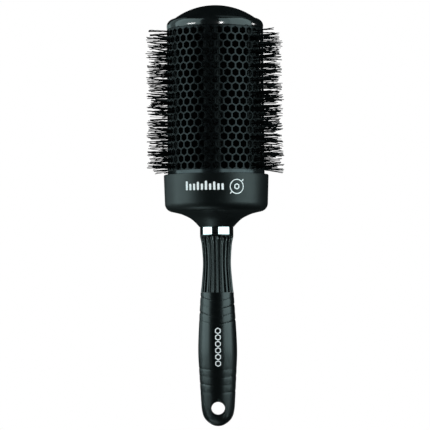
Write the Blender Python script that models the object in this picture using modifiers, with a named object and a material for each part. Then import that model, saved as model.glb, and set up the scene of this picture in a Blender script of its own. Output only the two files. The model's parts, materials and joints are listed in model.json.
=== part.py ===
"""Round barrel brush for blow-drying: a vented metal barrel with six bristle strips on a long moulded handle.

The brush stands on the end of its handle. The origin is at the middle of that end, +Z runs up the brush to
the domed cap, and -Y is its front, where one mouth of the hang hole is.
"""

import math

import bmesh
import bpy
from mathutils import Matrix, Vector, geometry

MM = 0.001
GAP = 0.3 * MM  # clearance between pieces that touch or fit into each other

# Overall
BRUSH_LENGTH = 282.5 * MM
FIRST_STRIP_ANGLE = math.radians(-95.75)  # the front strip sits a little to the left of the middle
STRIP_COUNT = 6
STRIP_ANGLE = 2.0 * math.pi / STRIP_COUNT

# Barrel: a metal tube rolled from sheet with six-sided vents in staggered rows
BARREL_RADIUS = 32.5 * MM
BARREL_WALL = 1.0 * MM
BARREL_BOTTOM = 152.3 * MM
BARREL_TOP = 266.0 * MM
VENT_COLUMNS = 24
VENT_ROWS = 13
VENT_WEB = 1.6 * MM
VENTS_BOTTOM = 171.0 * MM
VENTS_TOP = 264.9 * MM

# Bristle strips: a rail inside the barrel, with tufts that stand out through the vents
TUFT_TIP_RADIUS = 49.0 * MM
TUFT_ROOT = 1.7 * MM
TUFT_TIP = 2.4 * MM
TUFT_SIDES = 6
RAIL_WIDTH = 12.6 * MM
RAIL_THICKNESS = 1.6 * MM
RAIL_OUTER = 30.4 * MM

# Bristle core: a hub on the tie rod, with a fin behind each strip
HUB_RADIUS = 5.5 * MM
FIN_THICKNESS = 1.8 * MM
FIN_RECESS = 0.2 * MM  # how much shorter the fins are than the hub

# Collar: the bell-shaped cup between handle and barrel
COLLAR_BOTTOM = 133.4 * MM
COLLAR_TOP = 168.3 * MM
COLLAR_RADIUS = 35.2 * MM
COLLAR_SHOULDER = 34.6 * MM
COLLAR_SHOULDER_ARC = 5.7 * MM
COLLAR_SHOULDER_HEIGHT = 149.2 * MM
COLLAR_SHOULDER_END = math.radians(-80.0)
COLLAR_FLARE = ((26.9, 142.9), (23.3, 141.9), (19.1, 140.0), (16.5, 138.4), (13.8, 135.9), (11.6, 133.4))
COLLAR_LIP_ARC = 0.6 * MM
COLLAR_BOSS_RADIUS = 9.5 * MM
COLLAR_SEAT_RADIUS = 30.0 * MM
COLLAR_FLOOR = ((COLLAR_BOSS_RADIUS, 145.8 * MM), (16.0 * MM, 145.8 * MM), (24.0 * MM, 147.2 * MM))
COLLAR_FLOOR_EDGE = 149.0 * MM

# Chrome ring and fluted neck sleeve
RING_TOP = 133.1 * MM
RING_BOTTOM = 127.9 * MM
RING_RADIUS = 11.2 * MM
RING_EDGE_ARC = 0.7 * MM
NECK_TOP = 127.6 * MM
NECK_BOTTOM = 89.7 * MM
NECK_OUTLINE = ((11.1, 89.7), (10.35, 96.5), (9.5, 109.0), (10.2, 121.0), (11.2, 126.3), (11.2, 127.6))
NECK_RIBS = 22
FLUTE_DEPTH = 0.7 * MM
FLUTES_TOP = 125.5 * MM

# Handle: a stiff core with a soft sleeve moulded over it
CORE_RADIUS = 7.0 * MM
SPIGOT_RADIUS = 6.6 * MM
CORE_BOTTOM = 24.3 * MM
CORE_TOP = 150.0 * MM
CORE_WELL_BOTTOM = 131.0 * MM
GRIP_TOP = 89.4 * MM
GRIP_OUTLINE = (
    (2.2, 0.0),
    (5.4, 1.7),
    (8.8, 4.8),
    (10.75, 9.0),
    (11.4, 16.0),
    (12.7, 40.0),
    (13.05, 52.0),
    (12.4, 68.0),
    (11.1, 89.4),
)
RIPPLE_DEPTH = 0.55 * MM
RIPPLE_PITCH = 5.15 * MM
RIPPLES_EACH_GROUP = 4
RIPPLE_STARTS = (20.95 * MM, 67.0 * MM)
HANG_HOLE_HEIGHT = 11.9 * MM
HANG_HOLE_RADIUS = 4.65 * MM
HANG_HOLE_MOUTH = 6.6 * MM
HANG_HOLE_REACH = 13.0 * MM

# Domed end cap
CAP_BOTTOM = BARREL_TOP + GAP
CAP_CROWN_ARC = 46.4 * MM
CAP_CROWN_EDGE = 28.3 * MM
CAP_SHOULDER_ARC = 4.5 * MM
CAP_SHOULDER_START = math.radians(78.0)
CAP_SHOULDER_HEIGHT = CAP_BOTTOM + 2.2 * MM
CAP_FLAT_RADIUS = 4.0 * MM
CAP_WALL = 2.5 * MM
CAP_SEAT_RADIUS = 29.3 * MM
CAP_SEAT_TOP = 270.2 * MM
CAP_SHELF_RADIUS = 27.0 * MM
CAP_INNER_EDGE = 25.5 * MM

# Plugs that close the barrel, and the rod that pulls the brush together
PLUG_RADIUS = BARREL_RADIUS - BARREL_WALL - 1.5 * GAP
BASE_PLUG_BOTTOM = 152.8 * MM
BASE_PLUG_TOP = 161.0 * MM
BASE_PLUG_RIM = 2.2 * MM
BASE_PLUG_WEB = 2.5 * MM
BASE_PLUG_BOSS = 6.0 * MM
TOP_PLUG_BOTTOM = 264.5 * MM
TOP_PLUG_TOP = 269.9 * MM
TOP_PLUG_SHELF = BARREL_TOP - 0.2 * MM
ROD_RADIUS = 2.5 * MM
ROD_BOTTOM = 133.0 * MM
ROD_TOP = 277.2 * MM
ROD_BORE = ROD_RADIUS + GAP
WASHER_RADIUS = 6.0 * MM
WASHER_THICKNESS = 1.0 * MM
NUT_ACROSS_FLATS = 8.0 * MM
NUT_HEIGHT = 4.0 * MM
INSERT_RADIUS = 4.2 * MM
INSERT_BOTTOM = 136.0 * MM
INSERT_TOP = 149.7 * MM

FINE_STEPS = 40
MEDIUM_STEPS = 28
SMALL_STEPS = 20
BORE_STEPS = 12
ROD_STEPS = 16


def clear_scene():
    for thing in list(bpy.data.objects):
        bpy.data.objects.remove(thing, do_unlink=True)


def make_collection(name):
    made = bpy.data.collections.new(name)
    bpy.context.scene.collection.children.link(made)
    return made


clear_scene()
PARTS = make_collection("round_barrel_brush")
CUTTERS = make_collection("cutters")


def material(name, colour, roughness, metallic=0.0):
    made = bpy.data.materials.new(name)
    made.use_nodes = True
    shader = made.node_tree.nodes["Principled BSDF"]
    shader.inputs["Base Color"].default_value = (*colour, 1.0)
    shader.inputs["Roughness"].default_value = roughness
    shader.inputs["Metallic"].default_value = metallic
    made.diffuse_color = (*colour, 1.0)
    return made


SATIN_BLACK = material("satin_black", (0.012, 0.014, 0.015), 0.32)
GRAPHITE = material("graphite", (0.055, 0.06, 0.065), 0.38, 0.8)
SOFT_TOUCH = material("soft_touch", (0.014, 0.016, 0.017), 0.55)
CHROME = material("chrome", (0.78, 0.79, 0.8), 0.08, 1.0)
NYLON = material("nylon", (0.008, 0.008, 0.009), 0.45)
STIFF_PLASTIC = material("stiff_plastic", (0.03, 0.03, 0.032), 0.5)
STEEL = material("steel", (0.5, 0.51, 0.52), 0.3, 1.0)
BRASS = material("brass", (0.6, 0.43, 0.16), 0.3, 1.0)


def add_object(name, mesh, finish, collection=PARTS):
    made = bpy.data.objects.new(name, mesh)
    if finish:
        mesh.materials.append(finish)
    collection.objects.link(made)
    return made


def smooth_faces(mesh):
    mesh.shade_smooth()
    mesh.set_sharp_from_angle(angle=math.radians(35.0))


def arc(centre_r, centre_z, radius, start, end, steps):
    """Points (radius, height) on an arc; angles are measured from +r towards +z, in radians."""
    angles = [start + (end - start) * i / steps for i in range(steps + 1)]
    return [(centre_r + radius * math.cos(a), centre_z + radius * math.sin(a)) for a in angles]


def smooth_line(stations, pieces):
    """Points in metres on a smooth curve through stations (radius, height) in millimetres."""
    points = [Vector((r * MM, z * MM, 0.0)) for r, z in stations]
    slopes = [(points[min(i + 1, len(points) - 1)] - points[max(i - 1, 0)]) / 2.0 for i in range(len(points))]
    line = []
    for i in range(len(points) - 1):
        handle_a = points[i] + slopes[i] / 3.0
        handle_b = points[i + 1] - slopes[i + 1] / 3.0
        stretch = geometry.interpolate_bezier(points[i], handle_a, handle_b, points[i + 1], pieces + 1)
        line += [(p.x, p.y) for p in stretch[:-1]]
    return line + [(points[-1].x, points[-1].y)]


def outline_mesh(name, outline, closed):
    """A wire in the XZ plane at +X, from (radius, height) points that run down the outer side."""
    mesh = bpy.data.meshes.new(name)
    bm = bmesh.new()
    corners = [bm.verts.new((r, 0.0, z)) for r, z in outline]
    for a, b in zip(corners, corners[1:]):
        bm.edges.new((a, b))
    if closed:
        bm.edges.new((corners[-1], corners[0]))
    bm.to_mesh(mesh)
    bm.free()
    return mesh


def turned(name, outline, finish, steps, closed=True, collection=PARTS):
    """A turned piece: closed outlines make rings and tubes, open ones start and end on the axis."""
    made = add_object(name, outline_mesh(name, outline, closed), finish, collection)
    turn = made.modifiers.new("turn", "SCREW")
    turn.axis = "Z"
    turn.angle = 2.0 * math.pi
    turn.steps = steps
    turn.render_steps = steps
    turn.use_merge_vertices = True
    turn.merge_threshold = 0.01 * MM
    turn.use_smooth_shade = True
    return made


def evaluated_mesh(thing, name):
    bpy.context.view_layer.update()
    graph = bpy.context.evaluated_depsgraph_get()
    mesh = bpy.data.meshes.new_from_object(thing.evaluated_get(graph))
    mesh.name = name
    return mesh


def cut(target, cutter):
    hide_tool(cutter)
    modifier = target.modifiers.new("cut_" + cutter.name, "BOOLEAN")
    modifier.operation = "DIFFERENCE"
    modifier.object = cutter


def unite(target, other):
    hide_tool(other)
    modifier = target.modifiers.new("join_" + other.name, "BOOLEAN")
    modifier.operation = "UNION"
    modifier.object = other


def hide_tool(tool):
    tool.hide_render = True
    tool.display_type = "WIRE"


def tube(name, outer, inner, bottom, top, finish, steps):
    outline = [(outer, top), (outer, bottom), (inner, bottom), (inner, top)]
    return turned(name, outline, finish, steps)


def cap_outline():
    """The dome: a flat crown, a shallow sphere, a rounded shoulder and a straight rim over the top plug."""
    sphere_z = BRUSH_LENGTH - CAP_CROWN_ARC
    flat_start = math.acos(CAP_FLAT_RADIUS / CAP_CROWN_ARC)
    crown = arc(0.0, sphere_z, CAP_CROWN_ARC, flat_start, math.acos(CAP_CROWN_EDGE / CAP_CROWN_ARC), 7)
    crown_z = crown[0][1]
    crown = [(r, z + BRUSH_LENGTH - crown_z) for r, z in crown]
    shoulder_r = BARREL_RADIUS - CAP_SHOULDER_ARC
    shoulder = arc(shoulder_r, CAP_SHOULDER_HEIGHT, CAP_SHOULDER_ARC, CAP_SHOULDER_START, 0.0, 5)
    inner_sphere = CAP_CROWN_ARC - CAP_WALL
    inner_start = math.acos(CAP_INNER_EDGE / inner_sphere)
    inner = arc(0.0, sphere_z, inner_sphere, inner_start, math.radians(90.0), 5)
    rim = [(BARREL_RADIUS, CAP_BOTTOM), (CAP_SEAT_RADIUS, CAP_BOTTOM), (CAP_SEAT_RADIUS, CAP_SEAT_TOP)]
    return [(0.0, BRUSH_LENGTH)] + crown + shoulder + rim + [(CAP_SHELF_RADIUS, CAP_SEAT_TOP)] + inner


def collar_outline():
    """A bell: straight wall, rounded shoulder and hollow flare outside, a stepped cup with a boss inside."""
    lip_r = COLLAR_RADIUS - COLLAR_LIP_ARC
    lip = arc(lip_r, COLLAR_TOP - COLLAR_LIP_ARC, COLLAR_LIP_ARC, math.pi / 2, 0.0, 3)
    shoulder_r = COLLAR_SHOULDER - COLLAR_SHOULDER_ARC
    shoulder = arc(shoulder_r, COLLAR_SHOULDER_HEIGHT, COLLAR_SHOULDER_ARC, 0.0, COLLAR_SHOULDER_END, 5)
    shoulder_foot = (shoulder[-1][0] / MM, shoulder[-1][1] / MM)
    flare = smooth_line((shoulder_foot,) + COLLAR_FLARE, 2)
    bore = SPIGOT_RADIUS + GAP
    seat_height = BARREL_BOTTOM - GAP
    cup_radius = BARREL_RADIUS + GAP
    neck = [(bore, COLLAR_BOTTOM), (bore, CORE_TOP), (COLLAR_BOSS_RADIUS, CORE_TOP)]
    floor = list(COLLAR_FLOOR) + [(COLLAR_SEAT_RADIUS, COLLAR_FLOOR_EDGE), (COLLAR_SEAT_RADIUS, seat_height)]
    return lip + shoulder + flare[1:] + neck + floor + [(cup_radius, seat_height), (cup_radius, COLLAR_TOP)]


def ripple(height):
    """How deep the grip's finger ripples are at this height."""
    for start in RIPPLE_STARTS:
        turns = (height - start) / RIPPLE_PITCH
        if 0.0 <= turns <= RIPPLES_EACH_GROUP:
            return RIPPLE_DEPTH * 0.5 * (1.0 - math.cos(2.0 * math.pi * turns))
    return 0.0


def radius_at(line, height):
    """The radius of a rising line of (radius, height) points at this height."""
    for (r_a, z_a), (r_b, z_b) in zip(line, line[1:]):
        if z_a <= height <= z_b:
            return r_a + (r_b - r_a) * (height - z_a) / (z_b - z_a)
    return line[-1][0]


def grip_outline():
    """The sleeve: rounded end, finger ripples below and above a smooth middle, and a bore for the core."""
    line = smooth_line(GRIP_OUTLINE, 3)
    heights = {z for _, z in line if ripple(z) < 0.001 * MM}
    for start in RIPPLE_STARTS:
        heights |= {start + RIPPLE_PITCH * 0.5 * i for i in range(2 * RIPPLES_EACH_GROUP + 1)}
    outer = [(radius_at(line, z) - ripple(z), z) for z in sorted(heights, reverse=True)]
    bore = CORE_RADIUS + GAP
    bore_bottom = CORE_BOTTOM - GAP
    return outer + [(0.0, 0.0)], [(0.0, bore_bottom), (bore, bore_bottom), (bore, GRIP_TOP)]


def make_grip():
    outer, bore = grip_outline()
    grip = turned("grip_sleeve", bore + outer, SOFT_TOUCH, MEDIUM_STEPS, closed=False)
    widening = HANG_HOLE_MOUTH - HANG_HOLE_RADIUS
    mouth_arc = (HANG_HOLE_REACH**2 + widening**2) / (2.0 * widening)
    spread = math.asin(HANG_HOLE_REACH / mouth_arc)
    waist = arc(HANG_HOLE_RADIUS + mouth_arc, 0.0, mouth_arc, math.pi - spread, math.pi + spread, 6)
    hole = [(0.0, HANG_HOLE_REACH)] + waist + [(0.0, -HANG_HOLE_REACH)]
    cutter = turned("hang_hole_cutter", hole, None, SMALL_STEPS, False, CUTTERS)
    cutter.location.z = HANG_HOLE_HEIGHT
    cutter.rotation_euler.x = math.pi / 2
    cut(grip, cutter)


def make_handle_core():
    shoulder = NECK_BOTTOM - 2.0 * GAP
    well = INSERT_RADIUS + GAP
    outline = [
        (0.0, CORE_WELL_BOTTOM),
        (well, CORE_WELL_BOTTOM),
        (well, CORE_TOP),
        (SPIGOT_RADIUS, CORE_TOP),
        (SPIGOT_RADIUS, shoulder),
        (CORE_RADIUS, shoulder),
        (CORE_RADIUS, CORE_BOTTOM),
        (0.0, CORE_BOTTOM),
    ]
    turned("handle_core", outline, STIFF_PLASTIC, SMALL_STEPS, closed=False)


def make_neck_sleeve():
    """The fluted sleeve: its outline is spun round, then every second line of corners is pushed in."""
    line = smooth_line(NECK_OUTLINE, 2)
    bore = SPIGOT_RADIUS + GAP
    mesh = outline_mesh("neck_sleeve", line[::-1] + [(bore, NECK_BOTTOM), (bore, NECK_TOP)], closed=True)
    bm = bmesh.new()
    bm.from_mesh(mesh)
    steps = 2 * NECK_RIBS
    bmesh.ops.spin(
        bm,
        geom=bm.edges[:],
        cent=(0.0, 0.0, 0.0),
        axis=(0.0, 0.0, 1.0),
        angle=2.0 * math.pi,
        steps=steps,
        use_merge=True,
    )
    bmesh.ops.remove_doubles(bm, verts=bm.verts[:], dist=0.01 * MM)
    for corner in bm.verts:
        turn = math.atan2(corner.co.y, corner.co.x) / (2.0 * math.pi) * steps
        radius = math.hypot(corner.co.x, corner.co.y)
        if round(turn) % 2 and radius > bore + MM and corner.co.z < FLUTES_TOP:
            corner.co.xy *= (radius - FLUTE_DEPTH) / radius
    bmesh.ops.recalc_face_normals(bm, faces=bm.faces[:])
    bm.to_mesh(mesh)
    bm.free()
    sleeve = add_object("neck_sleeve", mesh, STIFF_PLASTIC)
    sleeve.rotation_euler.z = math.pi / 2


def vent_corners(angle, height, half_width, half_height):
    """The six corners of a vent, by name, as (angle, height) on the rolled sheet."""
    side = half_height / 2.0
    turn = half_width / BARREL_RADIUS
    return {
        "top": (angle, height + half_height),
        "upper_left": (angle - turn, height + side),
        "lower_left": (angle - turn, height - side),
        "bottom": (angle, height - half_height),
        "lower_right": (angle + turn, height - side),
        "upper_right": (angle + turn, height + side),
    }


def vent_size():
    half_width = (2.0 * math.pi * BARREL_RADIUS / VENT_COLUMNS - VENT_WEB) / 2.0
    return half_width, 2.0 * half_width / math.sqrt(3.0)


def vent_height(row):
    half_height = vent_size()[1]
    return VENTS_TOP - half_height - row * (VENTS_TOP - VENTS_BOTTOM - 2.0 * half_height) / (VENT_ROWS - 1)


def vent_angle(row, column):
    return FIRST_STRIP_ANGLE + (column + 0.5 * (row % 2)) * 2.0 * math.pi / VENT_COLUMNS


def make_barrel():
    """The sheet between the vents, made web by web in rolled form, then given its wall thickness."""
    bm = bmesh.new()
    half_width, half_height = vent_size()

    def corner(angle, height):
        return bm.verts.new((BARREL_RADIUS * math.cos(angle), BARREL_RADIUS * math.sin(angle), height))

    rows = []
    for row in range(VENT_ROWS):
        vents = []
        for column in range(VENT_COLUMNS):
            places = vent_corners(vent_angle(row, column), vent_height(row), half_width, half_height)
            vents.append({name: corner(*place) for name, place in places.items()})
        rows.append(vents)
    for row, vents in enumerate(rows):
        for column, vent in enumerate(vents):
            right = vents[(column + 1) % VENT_COLUMNS]
            bm.faces.new((vent["lower_right"], right["lower_left"], right["upper_left"], vent["upper_right"]))
            if row == 0:
                continue
            above_left = rows[row - 1][(column - 1 + row % 2) % VENT_COLUMNS]
            above_right = rows[row - 1][(column + row % 2) % VENT_COLUMNS]
            bm.faces.new((vent["top"], above_right["lower_left"], above_left["lower_right"]))
            bm.faces.new((vent["upper_right"], right["upper_left"], above_right["bottom"]))
            bm.faces.new((vent["top"], vent["upper_right"], above_right["bottom"], above_right["lower_left"]))
            bm.faces.new((vent["upper_left"], vent["top"], above_left["lower_right"], above_left["bottom"]))
    add_band(bm, corner, rows[0], 0, BARREL_TOP, ("upper_right", "upper_left", "top"))
    add_band(bm, corner, rows[-1], VENT_ROWS - 1, BARREL_BOTTOM, ("lower_right", "lower_left", "bottom"))
    bmesh.ops.recalc_face_normals(bm, faces=bm.faces[:])
    mesh = bpy.data.meshes.new("barrel")
    bm.to_mesh(mesh)
    bm.free()
    smooth_faces(mesh)
    barrel = add_object("barrel", mesh, GRAPHITE)
    wall = barrel.modifiers.new("wall", "SOLIDIFY")
    wall.thickness = BARREL_WALL
    wall.offset = -1.0
    wall.use_even_offset = True


def add_band(bm, corner, vents, row, edge_height, names):
    """The plain band between the last row of vents and the sheet's edge."""
    right_side, left_side, tip = names
    edge = [corner(vent_angle(row, column), edge_height) for column in range(VENT_COLUMNS)]
    for column, vent in enumerate(vents):
        following = (column + 1) % VENT_COLUMNS
        right = vents[following]
        vents_side = (right[tip], right[left_side], vent[right_side], vent[tip])
        bm.faces.new((edge[column], edge[following]) + vents_side)


def tuft_places():
    """Where a strip's tufts stand: (angle from the strip's middle, height), one and two by turns."""
    half_pitch = math.pi / VENT_COLUMNS
    places = []
    for row in range(VENT_ROWS):
        turns = (-1.0, 1.0) if row % 2 else (0.0,)
        places += [(turn * half_pitch, vent_height(row)) for turn in turns]
    return places


def make_strips():
    """One strip is made at +X: a rail with all its tufts joined on. The six strips share its mesh."""
    bottom = BASE_PLUG_TOP + GAP
    top = TOP_PLUG_BOTTOM - GAP
    bpy.ops.mesh.primitive_cube_add(size=1.0)
    rail = bpy.context.active_object
    rail.name = "rail_tool"
    rail.data.transform(
        Matrix.Translation((RAIL_OUTER - RAIL_THICKNESS / 2.0, 0.0, (bottom + top) / 2.0))
        @ Matrix.Diagonal((RAIL_THICKNESS, RAIL_WIDTH, top - bottom, 1.0))
    )
    bm = bmesh.new()
    root = RAIL_OUTER - RAIL_THICKNESS / 2.0
    depth = TUFT_TIP_RADIUS - root
    for angle, height in tuft_places():
        place = (
            Matrix.Rotation(angle, 4, "Z")
            @ Matrix.Translation((root + depth / 2.0, 0.0, height))
            @ Matrix.Rotation(math.pi / 2, 4, "Y")
        )
        bmesh.ops.create_cone(
            bm,
            cap_ends=True,
            segments=TUFT_SIDES,
            radius1=TUFT_ROOT,
            radius2=TUFT_TIP,
            depth=depth,
            matrix=place,
        )
    mesh = bpy.data.meshes.new("tufts_tool")
    bm.to_mesh(mesh)
    bm.free()
    tufts = add_object("tufts_tool", mesh, None, CUTTERS)
    unite(rail, tufts)
    strip_mesh = evaluated_mesh(rail, "bristle_strip")
    bpy.data.objects.remove(rail, do_unlink=True)
    bpy.data.objects.remove(tufts, do_unlink=True)
    strip_mesh.materials.clear()
    strip_mesh.materials.append(NYLON)
    for i in range(STRIP_COUNT):
        strip = bpy.data.objects.new(f"bristle_strip_{i + 1}", strip_mesh)
        PARTS.objects.link(strip)
        strip.rotation_euler.z = FIRST_STRIP_ANGLE + i * STRIP_ANGLE


def make_bristle_core():
    """A hub bored for the tie rod, with six fins: three boxes through the hub make both fins of a pair."""
    bottom = BASE_PLUG_TOP + GAP
    top = TOP_PLUG_BOTTOM - GAP
    outer = RAIL_OUTER - RAIL_THICKNESS - GAP
    outline = [(0.0, top), (HUB_RADIUS, top), (HUB_RADIUS, bottom), (0.0, bottom)]
    hub = turned("bristle_core", outline, STIFF_PLASTIC, SMALL_STEPS, closed=False)
    for i in range(STRIP_COUNT // 2):
        bpy.ops.mesh.primitive_cube_add(size=1.0)
        fins = bpy.context.active_object
        fins.name = f"fins_{i + 1}_tool"
        for owner in list(fins.users_collection):
            owner.objects.unlink(fins)
        CUTTERS.objects.link(fins)
        fins.data.transform(Matrix.Diagonal((2.0 * outer, FIN_THICKNESS, top - bottom - FIN_RECESS, 1.0)))
        fins.location.z = (bottom + top) / 2.0
        fins.rotation_euler.z = FIRST_STRIP_ANGLE + i * STRIP_ANGLE
        unite(hub, fins)
    bore_outline = [(0.0, top + MM), (ROD_BORE, top + MM), (ROD_BORE, bottom - MM), (0.0, bottom - MM)]
    bore = turned("core_bore_cutter", bore_outline, None, BORE_STEPS, False, CUTTERS)
    cut(hub, bore)


def make_plugs():
    """The base plug is a shallow cup, open downwards; the top plug has a step that the cap snaps over."""
    rim = PLUG_RADIUS - BASE_PLUG_RIM
    web = BASE_PLUG_TOP - BASE_PLUG_WEB
    base = [
        (PLUG_RADIUS, BASE_PLUG_TOP),
        (PLUG_RADIUS, BASE_PLUG_BOTTOM),
        (rim, BASE_PLUG_BOTTOM),
        (rim, web),
        (BASE_PLUG_BOSS, web),
        (BASE_PLUG_BOSS, BASE_PLUG_BOTTOM),
        (ROD_BORE, BASE_PLUG_BOTTOM),
        (ROD_BORE, BASE_PLUG_TOP),
    ]
    turned("base_plug", base, STIFF_PLASTIC, MEDIUM_STEPS)
    step = CAP_SEAT_RADIUS - GAP
    top = [
        (ROD_BORE, TOP_PLUG_TOP),
        (step, TOP_PLUG_TOP),
        (step, TOP_PLUG_SHELF),
        (PLUG_RADIUS, TOP_PLUG_SHELF),
        (PLUG_RADIUS, TOP_PLUG_BOTTOM),
        (ROD_BORE, TOP_PLUG_BOTTOM),
    ]
    turned("top_plug", top, STIFF_PLASTIC, MEDIUM_STEPS)


def make_fasteners():
    rod = [(0.0, ROD_TOP), (ROD_RADIUS, ROD_TOP), (ROD_RADIUS, ROD_BOTTOM), (0.0, ROD_BOTTOM)]
    turned("tie_rod", rod, STEEL, ROD_STEPS, closed=False)
    tube("threaded_insert", INSERT_RADIUS, ROD_BORE, INSERT_BOTTOM, INSERT_TOP, BRASS, ROD_STEPS)
    washer_bottom = TOP_PLUG_TOP + GAP
    washer_top = washer_bottom + WASHER_THICKNESS
    tube("rod_washer", WASHER_RADIUS, ROD_BORE, washer_bottom, washer_top, STEEL, SMALL_STEPS)
    nut_bottom = washer_top + GAP
    corner = NUT_ACROSS_FLATS / math.sqrt(3.0)
    bore_corner = ROD_BORE / math.cos(math.pi / 6.0)
    nut = tube("rod_nut", corner, bore_corner, nut_bottom, nut_bottom + NUT_HEIGHT, STEEL, 6)
    nut.modifiers["turn"].use_smooth_shade = False


def make_ring():
    """The chrome ferrule: a band with rounded edges."""
    inner = SPIGOT_RADIUS + GAP
    edge_r = RING_RADIUS - RING_EDGE_ARC
    upper = arc(edge_r, RING_TOP - RING_EDGE_ARC, RING_EDGE_ARC, math.pi / 2, 0.0, 3)
    lower = arc(edge_r, RING_BOTTOM + RING_EDGE_ARC, RING_EDGE_ARC, 0.0, -math.pi / 2, 3)
    turned("chrome_ring", upper + lower + [(inner, RING_BOTTOM), (inner, RING_TOP)], CHROME, MEDIUM_STEPS)


turned("end_cap", cap_outline(), SATIN_BLACK, FINE_STEPS, closed=False)
turned("collar", collar_outline(), SOFT_TOUCH, FINE_STEPS)
make_barrel()
make_strips()
make_bristle_core()
make_plugs()
make_fasteners()
make_ring()
make_neck_sleeve()
make_grip()
make_handle_core()
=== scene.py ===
"""Looks of the round barrel brush: its pieces in full detail, their materials, the studio and the camera.

The brush stands on the end of its handle, +Z runs up to the cap, and -Y is its front.
"""

import json
import math
import random

import bmesh
import bpy
import numpy as np
from mathutils import Matrix, Vector, geometry


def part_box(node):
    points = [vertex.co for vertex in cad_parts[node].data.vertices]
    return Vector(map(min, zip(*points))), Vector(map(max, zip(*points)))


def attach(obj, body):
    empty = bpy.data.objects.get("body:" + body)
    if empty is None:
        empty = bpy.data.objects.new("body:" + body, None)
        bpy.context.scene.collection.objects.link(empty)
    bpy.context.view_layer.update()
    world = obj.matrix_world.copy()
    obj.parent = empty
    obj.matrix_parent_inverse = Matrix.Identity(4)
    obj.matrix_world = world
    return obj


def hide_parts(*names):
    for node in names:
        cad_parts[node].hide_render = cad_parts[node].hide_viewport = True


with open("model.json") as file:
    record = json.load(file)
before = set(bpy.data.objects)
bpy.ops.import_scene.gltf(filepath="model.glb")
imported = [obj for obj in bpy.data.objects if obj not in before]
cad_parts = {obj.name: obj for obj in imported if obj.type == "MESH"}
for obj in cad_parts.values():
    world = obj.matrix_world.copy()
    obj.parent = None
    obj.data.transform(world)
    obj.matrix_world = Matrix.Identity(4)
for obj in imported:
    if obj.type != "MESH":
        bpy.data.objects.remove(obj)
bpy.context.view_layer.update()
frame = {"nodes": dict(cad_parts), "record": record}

MM = 0.001
FRONT = -math.pi / 2  # the polar angle of the brush's front


def top_of(node):
    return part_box(node)[1][2]


def bottom_of(node):
    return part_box(node)[0][2]


def radius_of(node):
    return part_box(node)[1][0]


# Sizes that the frame holds
BARREL_RADIUS = radius_of("barrel")
BARREL_BOTTOM = bottom_of("barrel")
BARREL_TOP = top_of("barrel")
BRUSH_TOP = top_of("end_cap")
CAP_BOTTOM = bottom_of("end_cap")
COLLAR_RADIUS = radius_of("collar")
COLLAR_TOP = top_of("collar")
COLLAR_BOTTOM = bottom_of("collar")
RING_BOTTOM = bottom_of("chrome_ring")
RING_RADIUS = radius_of("chrome_ring")
GRIP_TOP = top_of("grip_sleeve")
CORE_BOTTOM = bottom_of("handle_core")
CORE_RADIUS = radius_of("handle_core")
HANG_HOLE_HEIGHT = next(m["pos_m"][2] for m in frame["record"]["mounts"] if m["name"] == "hang_hole")
STRIP_NODES = sorted(name for name in frame["nodes"] if name.startswith("bristle_strip_"))

# Sizes of the fine detail
BARREL_WALL = 1.0 * MM
FIRST_STRIP_ANGLE = FRONT - math.radians(5.75)
STRIP_ANGLE = 2.0 * math.pi / len(STRIP_NODES)
VENT_COLUMNS = 36
VENT_ROWS = 20
VENT_WEB = 1.15 * MM
TOP_ROW_HEIGHT = 262.8 * MM
ROW_PITCH = 4.71 * MM
FIT_GAP = 0.3 * MM
SEAM = 0.05 * MM  # what shows between two pieces of the handle
SPIGOT_RADIUS = 6.6 * MM


# ---------------------------------------------------------------- materials

# The range that most of a noise's values fall in
NOISE_LOW = 0.35
NOISE_HIGH = 0.65


class Shader:
    """A node material under construction: a Principled shader and short ways to feed it."""

    def __init__(self, name):
        self.material = bpy.data.materials.new(name)
        self.material.use_nodes = True
        self.tree = self.material.node_tree
        self.principled = self.tree.nodes["Principled BSDF"]
        self.place = self.add("ShaderNodeTexCoord").outputs["Object"]

    def add(self, kind, **settings):
        node = self.tree.nodes.new(kind)
        for key, value in settings.items():
            setattr(node, key, value)
        return node

    def join(self, source, target):
        self.tree.links.new(source, target)

    def set(self, **values):
        for key, value in values.items():
            socket = self.principled.inputs[key.replace("_", " ")]
            socket.default_value = value
        return self

    def stretched(self, scale):
        mapping = self.add("ShaderNodeMapping")
        mapping.inputs["Scale"].default_value = scale
        self.join(self.place, mapping.inputs["Vector"])
        return mapping.outputs["Vector"]

    def noise(self, scale, detail=3.0, roughness=0.5, vector=None):
        node = self.add("ShaderNodeTexNoise")
        node.inputs["Scale"].default_value = scale
        node.inputs["Detail"].default_value = detail
        node.inputs["Roughness"].default_value = roughness
        self.join(vector or self.place, node.inputs["Vector"])
        return node.outputs["Fac"]

    def spread(self, source, low, high):
        """Maps a noise's middle range to values from low to high."""
        node = self.add("ShaderNodeMapRange")
        node.inputs["From Min"].default_value = NOISE_LOW
        node.inputs["From Max"].default_value = NOISE_HIGH
        node.inputs["To Min"].default_value = low
        node.inputs["To Max"].default_value = high
        self.join(source, node.inputs["Value"])
        return node.outputs["Result"]

    def colours(self, source, dark, light):
        node = self.add("ShaderNodeValToRGB")
        node.color_ramp.elements[0].position = NOISE_LOW
        node.color_ramp.elements[0].color = (*dark, 1.0)
        node.color_ramp.elements[1].position = NOISE_HIGH
        node.color_ramp.elements[1].color = (*light, 1.0)
        self.join(source, node.inputs["Fac"])
        self.join(node.outputs["Color"], self.principled.inputs["Base Color"])
        return self

    def rough(self, source, low, high):
        self.join(self.spread(source, low, high), self.principled.inputs["Roughness"])
        return self

    def bump(self, source, depth, strength):
        node = self.add("ShaderNodeBump")
        node.inputs["Strength"].default_value = strength
        node.inputs["Distance"].default_value = depth
        self.join(source, node.inputs["Height"])
        self.join(node.outputs["Normal"], self.principled.inputs["Normal"])
        return self


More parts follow.
